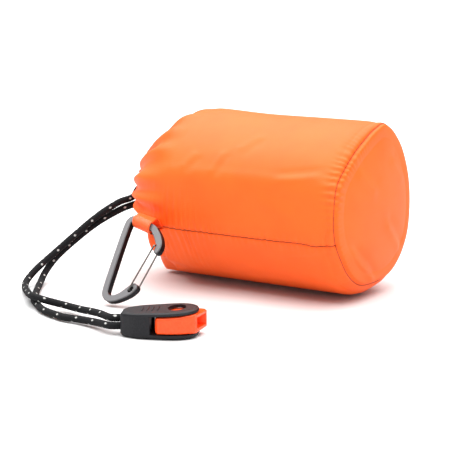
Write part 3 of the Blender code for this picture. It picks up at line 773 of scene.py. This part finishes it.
def strand_routes():
    """The drawcord's two free strands, each from the hem's ring to the knot in the housing."""
    over = [(-0.0630, -0.0082, 0.0434), (-0.0640, -0.0120, 0.0405), (-0.0648, -0.0156, 0.0370),
            (-0.0681, -0.0222, 0.0351), (-0.0739, -0.0309, 0.0294), (-0.0805, -0.0408, 0.0208),
            (-0.0858, -0.0500, 0.0130), (-0.0888, -0.0583, 0.0073), (-0.0890, -0.0655, 0.0031),
            (-0.0838, -0.0734, 0.0019), (-0.0725, -0.0849, 0.0032), (-0.0603, -0.0958, 0.0050),
            (-0.0510, -0.0973, 0.0045), (-0.0427, -0.0945, 0.0028), (-0.0320, -0.0972, 0.0030),
            (-0.0217, -0.1021, 0.0044), (-0.0130, -0.1070, 0.0056)]
    under = [(-0.0632, -0.0082, 0.0356), (-0.0641, -0.0120, 0.0338), (-0.0680, -0.0201, 0.0316),
             (-0.0751, -0.0294, 0.0259), (-0.0812, -0.0378, 0.0189), (-0.0863, -0.0467, 0.0112),
             (-0.0876, -0.0540, 0.0050), (-0.0838, -0.0625, 0.0018), (-0.0719, -0.0798, 0.0016),
             (-0.0639, -0.0903, 0.0016), (-0.0560, -0.0970, 0.0016), (-0.0475, -0.1027, 0.0016),
             (-0.0340, -0.1072, 0.0016), (-0.0244, -0.1075, 0.0018), (-0.0130, -0.1100, 0.0026)]
    across, up = STRAND_OFFSET
    into_eye = (-0.0050, 0.0000, CORD_END)
    over_end = [on_housing(s, across, HOUSING_EYE_Z + up) for s in into_eye]
    under_end = [on_housing(s, -across, HOUSING_EYE_Z - up) for s in into_eye]
    start = radians(52)
    return ([hem_point(start), *over, *over_end], [hem_point(-start), *under, *under_end])


def braid(name, route, finish):
    """A round braid along a route: strands wind both ways and pass over and under each other."""
    sides, step = 48, 0.0003
    path = catmull(route, 24)
    length = along(path)[-1]
    path = at_distances(path, np.linspace(0, length, int(length / step)))
    turn = np.arange(sides) / sides
    run = (along(path) / BRAID_PITCH)[:, None]
    right_hand = CARRIERS * turn[None] + run
    left_hand = CARRIERS * turn[None] - run
    on_top = (np.floor(right_hand) + np.floor(left_hand)) % 4 < 2
    strand = np.where(on_top, right_hand, left_hand)
    crown = np.sqrt(np.clip(1 - (2 * (strand % 1) - 1) ** 2, 0, 1))
    radius = CORD_RADIUS - BRAID_SINK + BRAID_CROWN * crown
    cord = capped_tube(name, path, radius, sides, finish)
    tracer = on_top & (np.floor(right_hand) % CARRIERS == 0) & (np.floor(left_hand) % 4 == 0)
    mark = cord.data.attributes.new("tracer", "FLOAT", "POINT")
    mark.data.foreach_set("value", tracer.ravel().astype(np.float32))
    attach(cord, "sack")
    return cord, path, length


def make_drawcord():
    finish = cord_material()
    for name, node, route in zip(("cord_over", "cord_under"), ("drawcord_over", "drawcord_under"),
                                 strand_routes()):
        cord, path, length = braid(name, route, finish)
        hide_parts(node)
    ring = [hem_point(radians(a)) for a in range(58, 304, 7)]
    inner, _, _ = braid("cord_in_hem", ring, finish)
    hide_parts("drawcord_hem_ring")


# ---------------------------------------------------------------- ribbon loop

def make_ribbon():
    """A satin ribbon out of the side seam, round the carabiner's bar and back in."""
    width, thickness, eye = 0.0104, 0.0004, 0.00285
    columns, row_step = 13, 0.0006
    level = Vector((1, 0, 0))
    bar_axis = level * cos(BAR_SLOPE) - CARABINER_UP * sin(BAR_SLOPE)
    u, v, height = BAR_CENTRE
    centre = CARABINER_FOOT + Vector((u, 0, 0)) + CARABINER_UP * v + CARABINER_OUT * height
    root = Vector((-0.0360, -RADIUS * cos(SEAM_DROP) + 0.0018, AXIS_Z - RADIUS * sin(SEAM_DROP)))
    top = [root + Vector((0, 0, 0.0008)), root + Vector((0.0004, -0.0020, 0.0020)),
           root + Vector((0.0014, -0.0050, 0.0050)), root + Vector((0.0036, -0.0098, 0.0074))]
    round_bar = [centre + Vector((0, -cos(radians(a)), sin(radians(a)))) * eye
                 for a in (95, 60, 25, -10, -45, -80, -105)]
    bottom = [root + Vector((0.0036, -0.0100, 0.0012)), root + Vector((0.0014, -0.0052, 0.0002)),
              root + Vector((0.0004, -0.0022, 0.0000)), root + Vector((0, 0, 0.0002))]
    path = catmull([tuple(p) for p in top + round_bar + bottom], 8)
    reach = -(centre - root).y
    rows = []
    for point in path:
        out = -(point[1] - root.y)
        share = min(max(out / (reach * 0.75), 0), 1)
        across = level.lerp(bar_axis, share).normalized() * (width / 2)
        rows.append([np.array(point) + np.array(across) * t for t in np.linspace(-1, 1, columns)])
    ribbon = add_mesh("ribbon_loop", rows, grid_faces(len(rows), columns, wrap=False), satin_material())
    layer = ribbon.data.uv_layers.new(name="cloth")
    for loop in ribbon.data.loops:
        row, column = divmod(loop.vertex_index, columns)
        layer.data[loop.index].uv = (column * width / (columns - 1), row * row_step)
    thick = ribbon.modifiers.new("thickness", "SOLIDIFY")
    thick.thickness = thickness
    thick.offset = 0
    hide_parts("hang_loop")
    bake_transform(ribbon)


# ---------------------------------------------------------------- hard parts

def dress(node, finish, bevel=None):
    """Gives a CAD node its material, and softens its edges where asked."""
    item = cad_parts[node]
    item.data.materials.clear()
    item.data.materials.append(finish)
    if bevel:
        weld = item.modifiers.new("weld", "WELD")
        weld.merge_threshold = 0.00001
        soften = item.modifiers.new("edges", "BEVEL")
        soften.width = bevel
        soften.segments = 3
        soften.limit_method = "ANGLE"
        soften.angle_limit = radians(40)


def make_grip_ribs(finish):
    """Raised ribs across the housing's top, behind the window, for the finger."""
    places = ((0.0088, 0.0030), (0.0110, 0.0036), (0.0132, 0.0038), (0.0154, 0.0036))
    for number, (s, half) in enumerate(places):
        top = HOUSING_REAR_HEIGHT + HOUSING_SLOPE * s
        line = np.array([on_housing(s, t, top) for t in np.linspace(-half, half, 9)])
        radius = 0.00034 * np.sqrt(np.clip(1 - np.linspace(-0.97, 0.97, 9) ** 4, 0, 1))[:, None]
        rib = capped_tube(f"grip_rib_{number}", line, radius, 10, finish)
        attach(rib, "sack")


def make_hard_parts():
    dress("carabiner_body", anodised_material())
    dress("carabiner_gate", steel_material())
    black = plastic_material("housing_plastic", (0.006, 0.006, 0.008), 0.5, 1500.0, 0.00006, 0.25)
    dress("whistle_housing", black, 0.0004)
    make_grip_ribs(black)
    orange = plastic_material("whistle_plastic", (0.93, 0.066, 0.008), 0.28, 900.0, 0.00001, 0.3)
    dress("whistle", orange, 0.0003)
    dress("cord_knot", cord_material())


make_camera()
make_studio()
make_drawcord()
cloth, base_seam_row = make_sack()
make_seams(cloth, base_seam_row)
make_tent_roll()
make_ribbon()
make_hard_parts()
